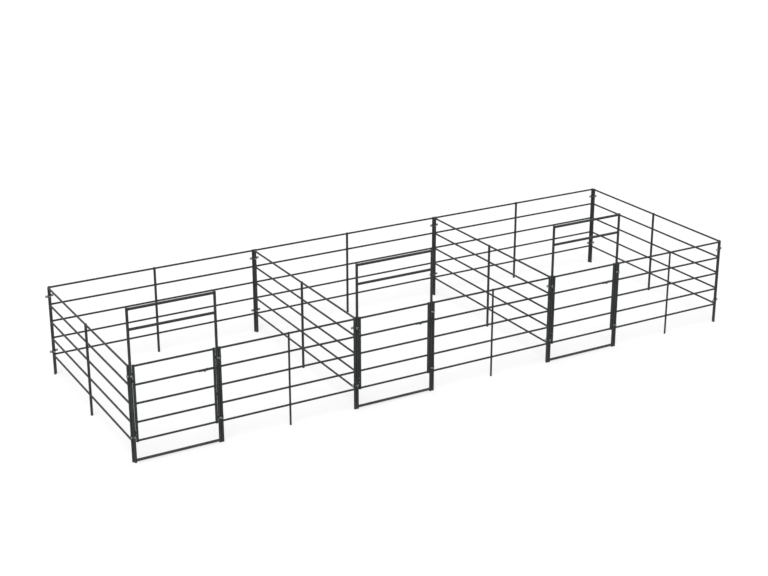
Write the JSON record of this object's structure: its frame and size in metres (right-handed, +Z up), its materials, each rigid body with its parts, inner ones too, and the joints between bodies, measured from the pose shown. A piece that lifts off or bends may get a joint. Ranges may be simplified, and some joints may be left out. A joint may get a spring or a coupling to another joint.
{
  "type": "livestock stall",
  "caption": "Row of connected pipe corral stalls: five-rail tube panels on edge, tall bow frames with outward swinging gates, latch bolts and bolted strap clamps at every junction.",
  "frame": {"origin": "middle of the whole object's box, on the ground under the post feet", "axes": "+X along the row of stalls from the left end to the right end as seen from the gates, +Y from the gate side to the back, +Z up"},
  "size_m": [11.0998, 3.7446, 2.399],
  "materials": {
    "tube": "satin charcoal powder coat",
    "gate": "satin charcoal powder coat",
    "clamp": "zinc plated pressed steel",
    "pin": "bright zinc plated bar"
  },
  "bodies": {
    "stall_frame": {"back_panel_1": "tube", "back_panel_2": "tube", "back_panel_3": "tube", "front_panel_1": "tube", "front_panel_2": "tube", "front_panel_3": "tube", "left_end_panel": "tube", "divider_panel_1": "tube", "divider_panel_2": "tube", "right_end_panel": "tube", "bow_frame_1": "tube", "bow_frame_2": "tube", "bow_frame_3": "tube", "hinge_pin_1_lower": "pin", "hinge_pin_1_upper": "pin", "hinge_pin_2_lower": "pin", "hinge_pin_2_upper": "pin", "hinge_pin_3_lower": "pin", "hinge_pin_3_upper": "pin", "clamp_back_left_lower": "clamp", "clamp_back_left_upper": "clamp", "clamp_back_right_lower": "clamp", "clamp_back_right_upper": "clamp", "clamp_front_left_lower": "clamp", "clamp_front_left_upper": "clamp", "clamp_front_right_lower": "clamp", "clamp_front_right_upper": "clamp", "clamp_back_1_lower": "clamp", "clamp_back_1_upper": "clamp", "clamp_front_1_lower": "clamp", "clamp_front_1_upper": "clamp", "clamp_back_2_lower": "clamp", "clamp_back_2_upper": "clamp", "clamp_front_2_lower": "clamp", "clamp_front_2_upper": "clamp", "clamp_bow_1_lower": "clamp", "clamp_bow_1_upper": "clamp", "clamp_bow_2_lower": "clamp", "clamp_bow_2_upper": "clamp", "clamp_bow_3_lower": "clamp", "clamp_bow_3_upper": "clamp"},
    "gate_leaf_1": {"gate_1": "gate"},
    "latch_slide_1": {"latch_bolt_1": "gate"},
    "gate_leaf_2": {"gate_2": "gate"},
    "latch_slide_2": {"latch_bolt_2": "gate"},
    "gate_leaf_3": {"gate_3": "gate"},
    "latch_slide_3": {"latch_bolt_3": "gate"}
  },
  "joints": [
    {"name": "gate_1_swing", "type": "hinge", "parent": "stall_frame", "child": "gate_leaf_1", "pos_m": [-5.4427, -1.8348, 0.9], "axis": [0, 0, -1], "range_deg": [0, 150]},
    {"name": "gate_2_swing", "type": "hinge", "parent": "stall_frame", "child": "gate_leaf_2", "pos_m": [-1.7851, -1.8348, 0.9], "axis": [0, 0, -1], "range_deg": [0, 150]},
    {"name": "gate_3_swing", "type": "hinge", "parent": "stall_frame", "child": "gate_leaf_3", "pos_m": [1.8725, -1.8348, 0.9], "axis": [0, 0, -1], "range_deg": [0, 150]},
    {"name": "latch_1_slide", "type": "slide", "parent": "gate_leaf_1", "child": "latch_slide_1", "axis": [1, 0, 0], "range_m": [0, 0.05]},
    {"name": "latch_2_slide", "type": "slide", "parent": "gate_leaf_2", "child": "latch_slide_2", "axis": [1, 0, 0], "range_m": [0, 0.05]},
    {"name": "latch_3_slide", "type": "slide", "parent": "gate_leaf_3", "child": "latch_slide_3", "axis": [1, 0, 0], "range_m": [0, 0.05]}
  ]
}
